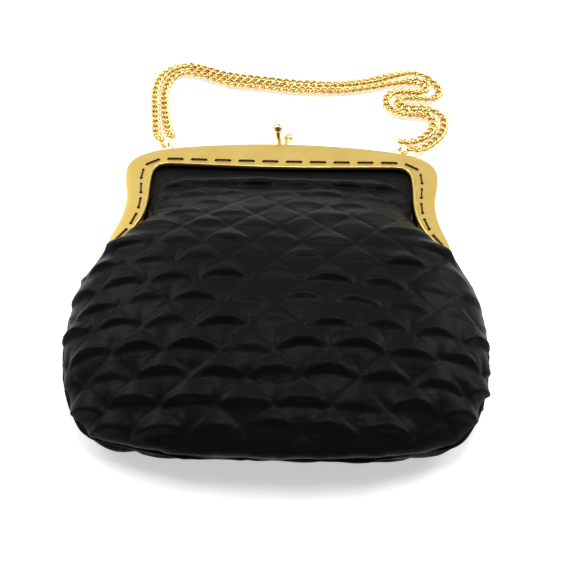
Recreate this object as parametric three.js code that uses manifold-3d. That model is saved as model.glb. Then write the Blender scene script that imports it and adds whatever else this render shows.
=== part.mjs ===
// A quilted satin evening purse with a hinged metal frame, a kiss-lock clasp and a double chain.
// It lies on its back: +X across the frame, +Y from the foot of the pouch to the clasp, +Z up
// through the front. Millimetres. The origin is under the middle of the purse, on the surface.
// Places on the purse are given by u, across from the middle, and v, down from the frame's top edge.
import * as THREE from "three";
import Module from "manifold-3d";
import { mergeVertices } from "three/addons/utils/BufferGeometryUtils.js";

const wasm = await Module();
wasm.setup();

// ---------- driving dimensions ----------
const FRAME_TOP_Y = 103.4; // y of the frame's top edge, which puts the origin mid-length
const PLATE = 1.2; // thickness of each stamped frame plate
const LIP = 0.8; // height of the rolled lip along each plate's inner edge
const WEDGE = THREE.MathUtils.degToRad(9); // the front plate rises this much towards its wings
const REAR_INNER_Z = LIP + PLATE; // inner face of the rear plate
const FRONT_INNER_Z = 8.8; // inner face of the front plate, at its top edge
const RIM_WALL = 0.8; // thickness of the rim turned in along the outer edge
const RIM_GAP = 0.5; // gap between the two rims when the frame is shut
const WING_RIM = 0.6; // rim height on the wings, below the hinge

const HINGE_V = 68.5; // the hinge pins stand at the frame's waist
const HINGE_Z = 10.4;
const EAR_RADIUS = 4.5;
const REAR_EAR_U = [86.0, 86.8]; // inner and outer face of each rear ear
const FRONT_EAR_U = [84.9, 85.6];
const PIN_RADIUS = 1.0;
const PIN_HOLE_RADIUS = 1.3;
const PIN_HEAD = 0.7; // thickness of the head at each end of a pin
const PIN_HEAD_RADIUS = 1.9;

const STITCH_PITCH = 14.3; // along the top edge
const SIDE_PITCH = 14.2; // down each side
const DASH = 8.6; // visible length of one stitch
const HOLE_RADIUS = 0.8;
const THREAD = 0.7; // side of the thread's section
const TOP_STITCHES = 12; // along the top, with one at each corner
const SIDE_STITCHES = 5;

const BALL_RADIUS = 3.2;
const BALL_OFFSET = 3.3; // the two balls stand side by side, either side of the middle
const BALL_REACH = 10.5; // past the frame's top edge
const STEM_RADIUS = 1.1;
const BASE_LENGTH = 9.2; // the oval plate under each stem
const BASE_WIDTH = 2.8;
const BASE_HEIGHT = 0.9;

const LUG_U = 70; // the chain lugs, on the rear rim
const LUG_V = 7.5;
const LUG_TURN = THREE.MathUtils.degToRad(16); // the frame's edge falls away this much there
const RING_RADIUS = 3.6;
const RING_WIRE = 0.55;
const RING_TILT = THREE.MathUtils.degToRad(20);
const CHAIN = 5.6; // width of one strand

const QUILT = 1.0; // outer satin and its backing
const WADDING = 1.8;
const LINING = 0.6;
const GAP = 0.3; // between layers, and wherever pieces meet
const SEAT = 1.5; // from a plate's inner face to the fabric sewn behind it

// ---------- helpers ----------
const vec = (x, y, z) => new THREE.Vector3(x, y, z);
const lerp = THREE.MathUtils.lerp;
const smooth = (x, a, b) => THREE.MathUtils.smoothstep(x, a, b);

// Straight runs between listed (position, value) pairs.
function profile(points) {
  return (x) => {
    if (x <= points[0][0]) return points[0][1];
    for (let i = 1; i < points.length; i++) {
      const [x1, y1] = points[i];
      const [x0, y0] = points[i - 1];
      if (x <= x1) return lerp(y0, y1, (x - x0) / (x1 - x0));
    }
    return points[points.length - 1][1];
  };
}

function solid(geometry) {
  const bare = geometry.index ? geometry.toNonIndexed() : geometry.clone();
  bare.deleteAttribute("normal");
  bare.deleteAttribute("uv");
  const merged = mergeVertices(bare, 1e-4);
  return new wasm.Manifold(
    new wasm.Mesh({
      numProp: 3,
      vertProperties: merged.attributes.position.array,
      triVerts: new Uint32Array(merged.index.array),
    }),
  );
}

function geometryOf(manifold) {
  const mesh = manifold.getMesh();
  const geometry = new THREE.BufferGeometry();
  geometry.setAttribute("position", new THREE.BufferAttribute(mesh.vertProperties, 3));
  geometry.setIndex(new THREE.BufferAttribute(mesh.triVerts, 1));
  geometry.computeVertexNormals();
  return geometry;
}

// A closed body from a row of closed loops, with flat ends.
function bodyFromLoops(loops) {
  const position = [];
  const index = [];
  const n = loops[0].length;
  loops.forEach((loop) => loop.forEach((p) => position.push(p.x, p.y, p.z)));
  for (let i = 0; i + 1 < loops.length; i++) {
    for (let j = 0; j < n; j++) {
      const k = (j + 1) % n;
      const a = i * n + j;
      const b = i * n + k;
      index.push(a, b, a + n, b, b + n, a + n);
    }
  }
  const last = (loops.length - 1) * n;
  for (let j = 1; j + 1 < n; j++) {
    index.push(0, j + 1, j);
    index.push(last, last + j, last + j + 1);
  }
  const geometry = new THREE.BufferGeometry();
  geometry.setAttribute("position", new THREE.Float32BufferAttribute(position, 3));
  geometry.setIndex(index);
  geometry.computeVertexNormals();
  return geometry;
}

// A closed layer between two sheets of points with the same rows and columns; "top" faces out.
function layerBody(top, bottom) {
  const rows = top.length;
  const columns = top[0].length;
  const position = [];
  const index = [];
  [top, bottom].forEach((sheet) => sheet.flat().forEach((p) => position.push(p.x, p.y, p.z)));
  const under = rows * columns;
  const at = (i, j) => i * columns + j;
  const quad = (a, b, c, d) => index.push(a, b, c, a, c, d);
  for (let i = 0; i + 1 < rows; i++) {
    for (let j = 0; j + 1 < columns; j++) {
      quad(at(i, j), at(i + 1, j), at(i + 1, j + 1), at(i, j + 1));
      quad(under + at(i, j), under + at(i, j + 1), under + at(i + 1, j + 1), under + at(i + 1, j));
    }
    quad(at(i + 1, 0), at(i, 0), under + at(i, 0), under + at(i + 1, 0));
    const e = columns - 1;
    quad(at(i, e), at(i + 1, e), under + at(i + 1, e), under + at(i, e));
  }
  for (let j = 0; j + 1 < columns; j++) {
    quad(at(0, j), at(0, j + 1), under + at(0, j + 1), under + at(0, j));
    const e = rows - 1;
    quad(at(e, j + 1), at(e, j), under + at(e, j), under + at(e, j + 1));
  }
  const geometry = new THREE.BufferGeometry();
  geometry.setAttribute("position", new THREE.Float32BufferAttribute(position, 3));
  geometry.setIndex(index);
  geometry.computeVertexNormals();
  return geometry;
}

const MATERIALS = {
  gold: { color: 0xdabf73, roughness: 0.42, metalness: 1 },
  polished_gold: { color: 0xe8c060, roughness: 0.15, metalness: 1 },
  satin: { color: 0x1b1a1b, roughness: 0.55, metalness: 0 },
  lining: { color: 0x191719, roughness: 0.6, metalness: 0 },
  wadding: { color: 0xe6e2da, roughness: 1, metalness: 0 },
  thread: { color: 0x2c1512, roughness: 0.8, metalness: 0 },
};

function piece(name, geometry, material) {
  const mesh = new THREE.Mesh(geometry, new THREE.MeshStandardMaterial(MATERIALS[material]));
  mesh.name = name;
  return mesh;
}

// ---------- the frame's outline ----------
// Half outlines from the top middle to a wing's tip, as (u, v), matched point for point.
const OUTER_EDGE = new THREE.SplineCurve(
  [
    [0, 0], [18, 0.4], [36, 1.9], [55, 4.3], [69, 7.2], [80, 11], [88, 17], [91.6, 25], [91.9, 33],
    [90, 45], [87.6, 56], [86.8, 66], [87.2, 76], [88.8, 86], [90.3, 94], [90.2, 98.4], [88.6, 101.2],
  ].map(([u, v]) => new THREE.Vector2(u, v)),
);
const INNER_EDGE = new THREE.SplineCurve(
  [
    [0, 26.2], [17, 26], [34, 25.4], [50, 24.8], [62, 24.4], [69, 24.5], [73.6, 26.4], [75.6, 30.5], [76, 37],
    [75.6, 47], [74.9, 57], [74.8, 66], [75.8, 75.5], [78.4, 84.5], [81.2, 91], [82.2, 96.6], [85.2, 100.4],
  ].map(([u, v]) => new THREE.Vector2(u, v)),
);
const HALF_STATIONS = 23;

// The line of stitching, as a half curve from the top middle to the tip.
const STITCH_LINE = new THREE.SplineCurve(
  [
    [0, 19.6], [40, 19.3], [64, 18.8], [74, 19.8], [80, 24], [82, 31], [81.8, 40], [80.3, 50],
    [79.2, 60], [79.1, 69], [80.2, 78], [82.2, 85.5], [84.2, 91], [86.6, 95.4],
  ].map(([u, v]) => new THREE.Vector2(u, v)),
);

// Depth of the space between the two inner faces at v, and each plate's share of rim.
const spaceAt = (v) => FRONT_INNER_Z - REAR_INNER_Z + v * Math.tan(WEDGE);
function rimHeight(v) {
  const full = (spaceAt(v) - RIM_GAP) / 2;
  return lerp(full, WING_RIM, smooth(v, 50, 61));
}

// ---------- a frame plate, in its own frame ----------
// x = u, y = -v, z = 0 on the inner face and out through the plate's outer face.
function plateLoop(outer, inner) {
  const across = inner.clone().sub(outer);
  const width = across.length();
  across.divideScalar(width);
  const rim = rimHeight(outer.y);
  const section = [
    [0, -rim], [0, PLATE - 0.5], [0.5, PLATE], [width - 2.2, PLATE],
    [width - 1.7, PLATE + LIP * 0.8], [width - 1.1, PLATE + LIP], [width - 0.4, PLATE + LIP * 0.7],
    [width, PLATE * 0.6], [width, 0], [RIM_WALL, 0], [RIM_WALL, -rim],
  ];
  return section.map(([a, z]) => vec(outer.x + across.x * a, -(outer.y + across.y * a), z));
}

const mirrored = (p) => new THREE.Vector2(-p.x, p.y);

function framePlate() {
  const stations = [];
  for (let i = -HALF_STATIONS; i <= HALF_STATIONS; i++) {
    const t = Math.abs(i) / HALF_STATIONS;
    const pair = [OUTER_EDGE.getPoint(t), INNER_EDGE.getPoint(t)];
    stations.push(i < 0 ? pair.map(mirrored) : pair);
  }
  return solid(bodyFromLoops(stations.map(([outer, inner]) => plateLoop(outer, inner))));
}

// Stitches from the left tip round to the right one: each is [start, end] in (u, v).
function stitches() {
  const length = STITCH_LINE.getLength();
  const at = (s) => STITCH_LINE.getPointAt(Math.min(s / length, 1));
  const right = [];
  for (let k = 0; k < TOP_STITCHES / 2; k++) {
    const middle = (k + 0.5) * STITCH_PITCH;
    right.push([at(middle - DASH / 2), at(middle + DASH / 2)]);
  }
  const corner = (TOP_STITCHES / 2 - 0.5) * STITCH_PITCH;
  for (let k = 1; k <= SIDE_STITCHES; k++) {
    const middle = corner + k * SIDE_PITCH;
    right.push([at(middle - DASH / 2), at(middle + DASH / 2)]);
  }
  const left = right.map(([a, b]) => [mirrored(b), mirrored(a)]).reverse();
  return [...left, ...right];
}

// One running thread: over the plate along each stitch, down through a hole and on underneath.
function threadBody() {
  const over = PLATE + 0.1 + THREAD / 2;
  const under = -0.15 - THREAD / 2;
  const route = [];
  stitches().forEach(([a, b]) => {
    route.push(vec(a.x, -a.y, under));
    route.push(vec(a.x, -a.y, over));
    route.push(vec(b.x, -b.y, over));
    route.push(vec(b.x, -b.y, under));
  });
  const half = THREAD / 2;
  const loops = route.map((p, i) => {
    const start = route[i - (i % 4)];
    const end = route[i - (i % 4) + 2];
    const flat = vec(end.x - start.x, end.y - start.y, 0).normalize();
    const side = vec(-flat.y, flat.x, 0).multiplyScalar(half);
    const isStart = i % 4 < 2;
    // The section leans at each corner, so the thread keeps its thickness round the bend.
    const lean = flat.clone().multiplyScalar(isStart ? -half : half);
    const upper = lean.add(vec(0, 0, half));
    const lower = upper.clone().negate();
    return [
      p.clone().add(side).add(upper),
      p.clone().sub(side).add(upper),
      p.clone().sub(side).add(lower),
      p.clone().add(side).add(lower),
    ];
  });
  return bodyFromLoops(loops);
}

function holeCutter(point) {
  const hole = new THREE.CylinderGeometry(HOLE_RADIUS, HOLE_RADIUS, 6, 6);
  hole.rotateX(Math.PI / 2);
  hole.translate(point.x, -point.y, 0);
  return solid(hole);
}

// A tongue from the plate to the pin, its end round the pin; pinLocal is the pin in plate axes.
function ear(uFaces, pinLocal) {
  const shape = new THREE.Shape();
  const down = -pinLocal.z;
  shape.moveTo(-EAR_RADIUS, 0.3);
  shape.lineTo(-EAR_RADIUS, -down);
  shape.absarc(0, -down, EAR_RADIUS, Math.PI, 2 * Math.PI, false);
  shape.lineTo(EAR_RADIUS, 0.3);
  shape.closePath();
  const hole = new THREE.Path();
  hole.absarc(0, -down, PIN_HOLE_RADIUS, 0, 2 * Math.PI, true);
  shape.holes.push(hole);
  const geometry = new THREE.ExtrudeGeometry(shape, {
    depth: uFaces[1] - uFaces[0],
    bevelEnabled: false,
    curveSegments: 6,
  });
  // The shape's x runs along the plate's y, and its depth runs along u.
  geometry.rotateY(Math.PI / 2);
  geometry.rotateX(Math.PI / 2);
  return geometry.translate(uFaces[0], pinLocal.y, 0);
}

function frameBody(earFaces, pinLocal) {
  let plate = framePlate();
  [1, -1].forEach((side) => {
    const faces = side > 0 ? earFaces : [-earFaces[1], -earFaces[0]];
    plate = plate.add(solid(ear(faces, pinLocal)));
  });
  stitches().flat().forEach((point) => {
    plate = plate.subtract(holeCutter(point));
  });
  return geometryOf(plate);
}

// ---------- the two halves of the frame ----------
const purse = new THREE.Group();
const frontHalf = new THREE.Group();
frontHalf.position.set(0, FRAME_TOP_Y, FRONT_INNER_Z);
frontHalf.rotation.x = -WEDGE;
const rearHalf = new THREE.Group();
rearHalf.position.set(0, FRAME_TOP_Y, REAR_INNER_Z);
rearHalf.rotation.y = Math.PI;
purse.add(frontHalf, rearHalf);
purse.updateMatrixWorld(true);

const HINGE_Y = FRAME_TOP_Y - HINGE_V;
const pinIn = (half) => half.worldToLocal(vec(0, HINGE_Y, HINGE_Z));
frontHalf.add(piece("front_frame", frameBody(FRONT_EAR_U, pinIn(frontHalf)), "gold"));
rearHalf.add(piece("rear_frame", frameBody(REAR_EAR_U, pinIn(rearHalf)), "gold"));
frontHalf.add(piece("front_stitching", threadBody(), "thread"));
rearHalf.add(piece("rear_stitching", threadBody(), "thread"));

// ---------- hinge pins ----------
function hingePin(name, side) {
  const inner = FRONT_EAR_U[0] - GAP;
  const outer = REAR_EAR_U[1] + GAP;
  const points = [
    [0, inner - PIN_HEAD], [PIN_HEAD_RADIUS, inner - PIN_HEAD], [PIN_HEAD_RADIUS, inner],
    [PIN_RADIUS, inner], [PIN_RADIUS, outer], [PIN_HEAD_RADIUS, outer],
    [PIN_HEAD_RADIUS - 0.3, outer + PIN_HEAD], [0, outer + PIN_HEAD],
  ].map(([r, x]) => new THREE.Vector2(r, x));
  const geometry = new THREE.LatheGeometry(points, 12);
  geometry.rotateZ(-Math.PI / 2);
  const pin = piece(name, geometry, "gold");
  pin.position.set(0, HINGE_Y, HINGE_Z);
  pin.rotation.z = side > 0 ? 0 : Math.PI;
  return pin;
}
purse.add(hingePin("hinge_pin_right", 1), hingePin("hinge_pin_left", -1));

// ---------- kiss-lock clasp ----------
// Each post rises from its own half's rim, crosses over and ends in a ball beside the other one.
function claspPost(name, x, rootZ, ballZ) {
  const y = FRAME_TOP_Y;
  const route = new THREE.CatmullRomCurve3([
    vec(x * 0.5, y + 1.8, rootZ),
    vec(x * 0.6, y + 4.0, rootZ + (ballZ - rootZ) * 0.15),
    vec(x, y + BALL_REACH - 2, ballZ - Math.sign(ballZ - rootZ) * 1.6),
    vec(x, y + BALL_REACH, ballZ),
  ]);
  const section = new THREE.Shape().absarc(0, 0, STEM_RADIUS, 0, 2 * Math.PI, false);
  const stem = new THREE.ExtrudeGeometry(section, {
    steps: 8,
    curveSegments: 4,
    bevelEnabled: false,
    extrudePath: route,
  });
  const ball = new THREE.SphereGeometry(BALL_RADIUS, 14, 10);
  ball.translate(x, y + BALL_REACH, ballZ);
  return piece(name, geometryOf(solid(stem).add(solid(ball))), "polished_gold");
}

function claspBase(name, x, z) {
  const outline = new THREE.Shape();
  outline.absellipse(0, 0, BASE_LENGTH / 2, BASE_WIDTH / 2, 0, 2 * Math.PI, false);
  const geometry = new THREE.ExtrudeGeometry(outline, {
    depth: BASE_HEIGHT,
    bevelEnabled: false,
    curveSegments: 8,
  });
  geometry.rotateX(-Math.PI / 2);
  const base = piece(name, geometry, "polished_gold");
  base.position.set(x, FRAME_TOP_Y + GAP, z);
  return base;
}
const REAR_ROOT_Z = 3.4;
const REAR_BALL_Z = 13.2;
const FRONT_ROOT_Z = 7.2;
const FRONT_BALL_Z = 5.2;
purse.add(claspPost("rear_clasp_post", -BALL_OFFSET, REAR_ROOT_Z, REAR_BALL_Z));
purse.add(claspPost("front_clasp_post", BALL_OFFSET, FRONT_ROOT_Z, FRONT_BALL_Z));
purse.add(claspBase("rear_clasp_base", -BALL_OFFSET / 2, REAR_ROOT_Z));
purse.add(claspBase("front_clasp_base", BALL_OFFSET / 2, FRONT_ROOT_Z));

// ---------- chain lugs, rings and end links ----------
// Each side has its own group at the lug's eye, turned to the slope of the frame's edge.
const EYE_RADIUS = 1.9;
const EYE_WIRE = 0.6;
const EYE_Z = 2.6;
const LINK_RADIUS = 1.9;
const LINK_WIRE = 0.6;
const PAD_SEAT = 1.2; // from the frame's edge to the eye's ring

function chainSide(side, linkAngles) {
  const name = side > 0 ? "right" : "left";
  const group = new THREE.Group();
  const reach = PAD_SEAT + EYE_RADIUS + EYE_WIRE;
  const turn = -side * LUG_TURN;
  group.position.set(
    side * (LUG_U + Math.sin(LUG_TURN) * reach),
    FRAME_TOP_Y - LUG_V + Math.cos(LUG_TURN) * reach,
    EYE_Z,
  );
  group.rotation.z = turn;

  const eye = new THREE.TorusGeometry(EYE_RADIUS, EYE_WIRE, 6, 16);
  eye.rotateY(Math.PI / 2);
  const pad = new THREE.BoxGeometry(4.4, 1.0, 3.0); // the pad soldered to the frame's rim
  pad.translate(0, -EYE_RADIUS - EYE_WIRE - 0.3, 0.2);
  group.add(piece("chain_lug_" + name, geometryOf(solid(eye).add(solid(pad))), "gold"));

  const tilted = new THREE.Group();
  tilted.rotation.x = RING_TILT;
  const ring = new THREE.TorusGeometry(RING_RADIUS, RING_WIRE, 6, 20);
  ring.translate(0, RING_RADIUS, 0);
  tilted.add(piece("jump_ring_" + name, ring, "polished_gold"));
  linkAngles.forEach((degrees, i) => {
    const angle = THREE.MathUtils.degToRad(degrees) - turn;
    const link = new THREE.TorusGeometry(LINK_RADIUS, LINK_WIRE, 6, 14);
    link.rotateY(Math.PI / 2);
    link.translate(0, RING_RADIUS + RING_WIRE, 0); // out from the ring's middle, round its wire
    link.rotateZ(angle);
    link.translate(0, RING_RADIUS, 0);
    tilted.add(piece("end_link_" + name + "_" + (i + 1), link, "polished_gold"));
  });
  group.add(tilted);
  purse.add(group);
}
// Angles of the links round each ring, anticlockwise from +Y.
chainSide(-1, [50, -4]);
chainSide(1, [-22, -76]);

// ---------- chain strands ----------
// Each strand's middle line, from the left ring to the right one: (x, distance past the frame, z).
const LOW = CHAIN / 2 + 0.1; // a strand lying on the surface
const STRAND_1 = [
  [-77.2, 6.2, 6.0], [-80.8, 14, 3.8], [-83, 26, LOW], [-85.3, 42, LOW], [-87, 58, LOW],
  [-85, 73, LOW], [-77.5, 83.5, LOW], [-68, 87, LOW], [-56, 83.4, LOW], [-42, 77.6, LOW],
  [-16, 72.8, LOW], [11, 69.4, LOW], [41, 70.2, LOW], [60, 74.6, LOW], [75, 80.8, LOW],
  [87, 83.6, LOW], [95.5, 80.4, LOW], [101.2, 73.4, LOW], [104.2, 66, LOW], [103.2, 59.4, LOW],
  [98, 56, LOW], [90, 56.2, LOW], [81.2, 56.6, LOW], [77.4, 55, LOW], [75.8, 51.2, LOW],
  [77.4, 47.4, LOW], [81.2, 45.8, LOW], [91, 45.6, LOW], [99.4, 43, LOW], [104, 36.4, LOW],
  [104, 28, LOW], [100.6, 19.6, LOW], [94.4, 11.8, LOW], [87, 5.6, 3.8], [79.6, 2.9, 5.6],
];
const STRAND_2 = [
  [-70.8, 9.6, 6.0], [-73.5, 17.5, 3.8], [-76.5, 28, LOW], [-78.9, 43, LOW], [-80.5, 57, LOW],
  [-78.6, 70, LOW], [-73.8, 77.5, LOW], [-67.5, 80.2, LOW], [-54.5, 76, LOW], [-40.5, 70, LOW],
  [-16, 66.4, LOW], [11, 63, LOW], [41, 63.6, LOW], [58, 67.4, LOW], [71, 71.6, LOW],
  [81.6, 73.8, LOW], [90.4, 73.6, LOW], [94.3, 71.9, LOW], [95.9, 68, LOW], [94.3, 64.1, LOW],
  [90.4, 62.5, LOW], [83, 62.9, LOW], [75.6, 62.6, LOW], [70.4, 59.4, LOW], [68.2, 53.4, LOW], [68.8, 46.6, LOW],
  [73.2, 41.6, LOW], [81, 39.6, LOW], [90, 39.2, LOW], [95.8, 36, LOW], [97.4, 30, LOW],
  [95.2, 23.4, LOW], [90.6, 17.8, LOW], [85.2, 14.2, LOW], [80, 11.8, 3.8], [74.2, 9.2, 6.0],
];

function chainStrand(name, points) {
  const route = new THREE.CatmullRomCurve3(points.map(([x, past, z]) => vec(x, FRAME_TOP_Y + past, z)));
  const section = new THREE.Shape().absarc(0, 0, CHAIN / 2, 0, 2 * Math.PI, false);
  const geometry = new THREE.ExtrudeGeometry(section, {
    steps: 96,
    curveSegments: 4,
    bevelEnabled: false,
    extrudePath: route,
  });
  return piece(name, geometry, "polished_gold");
}
purse.add(chainStrand("chain_strand_1", STRAND_1), chainStrand("chain_strand_2", STRAND_2));

// ---------- the pouch ----------
const POUCH_END_V = 220.5;
const WING_HALF = 72.4; // half width of the pouch between the wings
const ARM_HALF = 83.4; // half width of the fabric behind the frame's arms
const HINGE_HALF = 58; // half width of the front's swinging edge, which tucks inside the pouch
const WING_END_V = 104.2; // where the pouch widens, clear of the wings as they swing

// Half width of the pouch below the wings.
const pouchHalf = profile([
  [WING_END_V, 95.5], [110, 99.5], [122, 102.4], [140, 104], [158, 103.4], [174, 100.6],
  [188, 95.4], [199, 89.6], [207, 83], [212, 76], [216, 66], [219, 55], [POUCH_END_V, 44],
]);
// Height of the front along the middle, and of the side seam.
const frontCrown = profile([
  [15, 9.4], [27, 12.4], [40, 17], [54, 22], [67.5, 27.6], [69.5, 34], [82, 37.4], [95, 40.4],
  [112, 43.2], [128, 44], [150, 43.2], [170, 40], [188, 34.6], [200, 29.4], [210, 24],
  [217, 19.4], [POUCH_END_V, 17],
]);
const seamHeight = profile([
  [60, 9.5], [WING_END_V, 11.6], [130, 14.5], [180, 14.5], [POUCH_END_V, 12.5],
]);
const rearFloor = profile([[200, 0], [212, 1.4], [POUCH_END_V, 5.5]]);

const POUCH_ROWS = [
  WING_END_V - 0.2, WING_END_V + 0.2, 114, 130, 150, 170, 186, 199, 210, POUCH_END_V,
];
const STEPS_ACROSS = 12;
const across = Array.from({ length: STEPS_ACROSS + 1 }, (_, j) => {
  const t = (2 * j) / STEPS_ACROSS - 1;
  return Math.sign(t) * (1 - (1 - Math.abs(t)) ** 1.25);
});
// The layers are pressed thin behind the top of the frame.
const pressed = (v) => lerp(0.58, 1, smooth(v, 27, 40));
const domed = (s) => (1 - Math.abs(s) ** 2.6) ** 0.62;
const boxy = (s) => (1 - Math.abs(s) ** 8) ** 0.5;
const flattened = (s) => Math.min(1.06 * (1 - Math.abs(s) ** 6) ** 0.5, 1);

// Points of a front sheet below the hinge, a depth below the outer surface.
function frontLowerSheet(depth) {
  const rows = [HINGE_V + 0.5, 80, 91, ...POUCH_ROWS];
  return rows.map((v) => {
    const half = (v < WING_END_V ? WING_HALF : pouchHalf(v)) - depth;
    const seam = seamHeight(v) + GAP / 2;
    const end = v === POUCH_END_V ? depth : 0;
    return across.map((s) => {
      const rise = (frontCrown(v) - depth - seam) * (v < WING_END_V ? boxy(s) : domed(s));
      return vec(s * half, FRAME_TOP_Y - v + end, seam + Math.max(rise, 0));
    });
  });
}

// Points of a front sheet above the hinge, which is sewn behind the front plate and swings with it.
function frontUpperSheet(depth) {
  const rows = [18, 27, 34, 44, 52, 60, HINGE_V - 1];
  return rows.map((v) => {
    const half = lerp(ARM_HALF, HINGE_HALF, smooth(v, 51, 60));
    const seat = FRONT_INNER_Z - SEAT + v * Math.tan(WEDGE) - 0.1;
    const bulge = Math.max(frontCrown(v) - seat, 0) * smooth(v, 24, 34);
    return across.map((s) => {
      const x = s * half;
      const open = Math.max(1 - (x / WING_HALF) ** 2, 0);
      return vec(x, FRAME_TOP_Y - v, seat - depth * pressed(v) + bulge * open);
    });
  });
}

// Points of a rear sheet, a depth above the outer surface.
function rearSheet(depth) {
  const rows = [18, 27, 32, 44, 59.8, 60.2, 80, ...POUCH_ROWS];
  return rows.map((v) => {
    const seat = REAR_INNER_Z + SEAT;
    const end = v === POUCH_END_V ? depth : 0;
    return across.map((s) => {
      if (v < 60) {
        const x = s * ARM_HALF;
        const behindPlate = Math.max(1 - smooth(v, 27, 32), smooth(Math.abs(x), 66, 73.5));
        return vec(x, FRAME_TOP_Y - v, depth * pressed(v) + seat * behindPlate);
      }
      const half = (v < WING_END_V ? WING_HALF : pouchHalf(v)) - depth;
      const seam = seamHeight(v) - GAP / 2;
      const drop = (seam - rearFloor(v) - depth) * flattened(s);
      return vec(s * half, FRAME_TOP_Y - v + end, seam - Math.max(drop, 0));
    });
  });
}

const LINING_DEPTH = QUILT + GAP + WADDING + GAP; // from the outer surface to the lining
function layers(prefix, suffix, sheet, isFront) {
  const body = (a, b) => (isFront ? layerBody(sheet(a), sheet(b)) : layerBody(sheet(b), sheet(a)));
  purse.add(piece(prefix + "_panel" + suffix, body(0, QUILT), "satin"));
  purse.add(piece(prefix + "_wadding" + suffix, body(QUILT + GAP, QUILT + GAP + WADDING), "wadding"));
  purse.add(piece(prefix + "_lining" + suffix, body(LINING_DEPTH, LINING_DEPTH + LINING), "lining"));
}
layers("front", "_lower", frontLowerSheet, true);
layers("front", "_upper", frontUpperSheet, true);
layers("rear", "", rearSheet, false);

export default purse;
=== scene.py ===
"""The looks of a quilted satin evening purse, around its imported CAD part.

It lies on its back. +X runs across the frame, +Y from the foot of the pouch to the clasp, +Z up.
Shapes are made in millimetres and scaled to metres as each mesh is made.
Places on the purse are given by u, across from the middle, and v, down from the frame's top edge.
"""

import math

import bpy
import numpy as np
from mathutils import Matrix, Vector


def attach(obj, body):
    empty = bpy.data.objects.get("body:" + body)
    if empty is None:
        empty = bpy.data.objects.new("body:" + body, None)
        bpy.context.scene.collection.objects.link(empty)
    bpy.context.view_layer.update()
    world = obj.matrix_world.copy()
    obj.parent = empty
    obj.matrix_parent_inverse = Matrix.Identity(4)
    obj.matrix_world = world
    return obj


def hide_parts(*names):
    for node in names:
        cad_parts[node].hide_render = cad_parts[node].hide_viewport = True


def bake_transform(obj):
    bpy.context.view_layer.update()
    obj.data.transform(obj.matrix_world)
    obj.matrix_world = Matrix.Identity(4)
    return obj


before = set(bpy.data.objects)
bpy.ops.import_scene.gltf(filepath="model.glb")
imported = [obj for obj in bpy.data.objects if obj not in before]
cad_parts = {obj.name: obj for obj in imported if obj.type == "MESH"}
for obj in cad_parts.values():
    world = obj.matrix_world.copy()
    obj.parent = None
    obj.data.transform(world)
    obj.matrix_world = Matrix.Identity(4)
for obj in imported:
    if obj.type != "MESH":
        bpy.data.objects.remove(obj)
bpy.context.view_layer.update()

MM = 0.001
rng = np.random.default_rng(11)

# ---------- the part's own dimensions, in millimetres, as the CAD has them ----------
FRAME_TOP_Y = 103.4
PLATE = 1.2
LIP = 0.8
WEDGE = math.radians(9)
REAR_INNER_Z = LIP + PLATE
FRONT_INNER_Z = 8.8
RIM_WALL = 0.8
RIM_GAP = 0.5
WING_RIM = 0.6
HINGE_V = 68.5
HINGE_Y = FRAME_TOP_Y - HINGE_V
HINGE_Z = 10.4
SEAT = 1.5
ARM_HALF = 83.4
POUCH_END_V = 220.5

OUTER_EDGE = [
    (0, 0), (18, 0.4), (36, 1.9), (55, 4.3), (69, 7.2), (80, 11), (88, 17), (91.6, 25), (91.9, 33),
    (90, 45), (87.6, 56), (86.8, 66), (87.2, 76), (88.8, 86), (90.3, 94), (90.2, 98.4), (88.6, 101.2),
]
INNER_EDGE = [
    (0, 26.2), (17, 26), (34, 25.4), (50, 24.8), (62, 24.4), (69, 24.5), (73.6, 26.4), (75.6, 30.5),
    (76, 37), (75.6, 47), (74.9, 57), (74.8, 66), (75.8, 75.5), (78.4, 84.5), (81.2, 91), (82.2, 96.6),
    (85.2, 100.4),
]
STITCH_LINE = [
    (0, 19.6), (40, 19.3), (64, 18.8), (74, 19.8), (80, 24), (82, 31), (81.8, 40), (80.3, 50),
    (79.2, 60), (79.1, 69), (80.2, 78), (82.2, 85.5), (84.2, 91), (86.6, 95.4),
]
STITCH_PITCH = 14.3
SIDE_PITCH = 14.2
DASH = 8.6
TOP_STITCHES = 12
SIDE_STITCHES = 5


# ---------- helpers ----------
def smooth(x, a, b):
    t = np.clip((np.asarray(x, float) - a) / (b - a), 0, 1)
    return t * t * (3 - 2 * t)


def lerp(a, b, t):
    return a + (b - a) * t


def unit(a):
    return a / np.maximum(np.linalg.norm(a, axis=-1, keepdims=True), 1e-12)


def curve(points, blur=3.0):
    """A smooth function through listed (position, value) pairs, rounded over about blur millimetres."""
    xs, ys = np.array(points, float).T
    step = 0.5
    dense = np.arange(xs[0], xs[-1] + step, step)
    values = np.interp(dense, xs, ys)
    reach = int(3 * blur / step)
    kernel = np.exp(-0.5 * (np.arange(-reach, reach + 1) * step / blur) ** 2)
    kernel /= kernel.sum()
    values = np.pad(values, reach, mode="reflect", reflect_type="odd")
    values = np.convolve(values, kernel, "valid")
    return lambda v: np.interp(v, dense, values)


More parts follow.
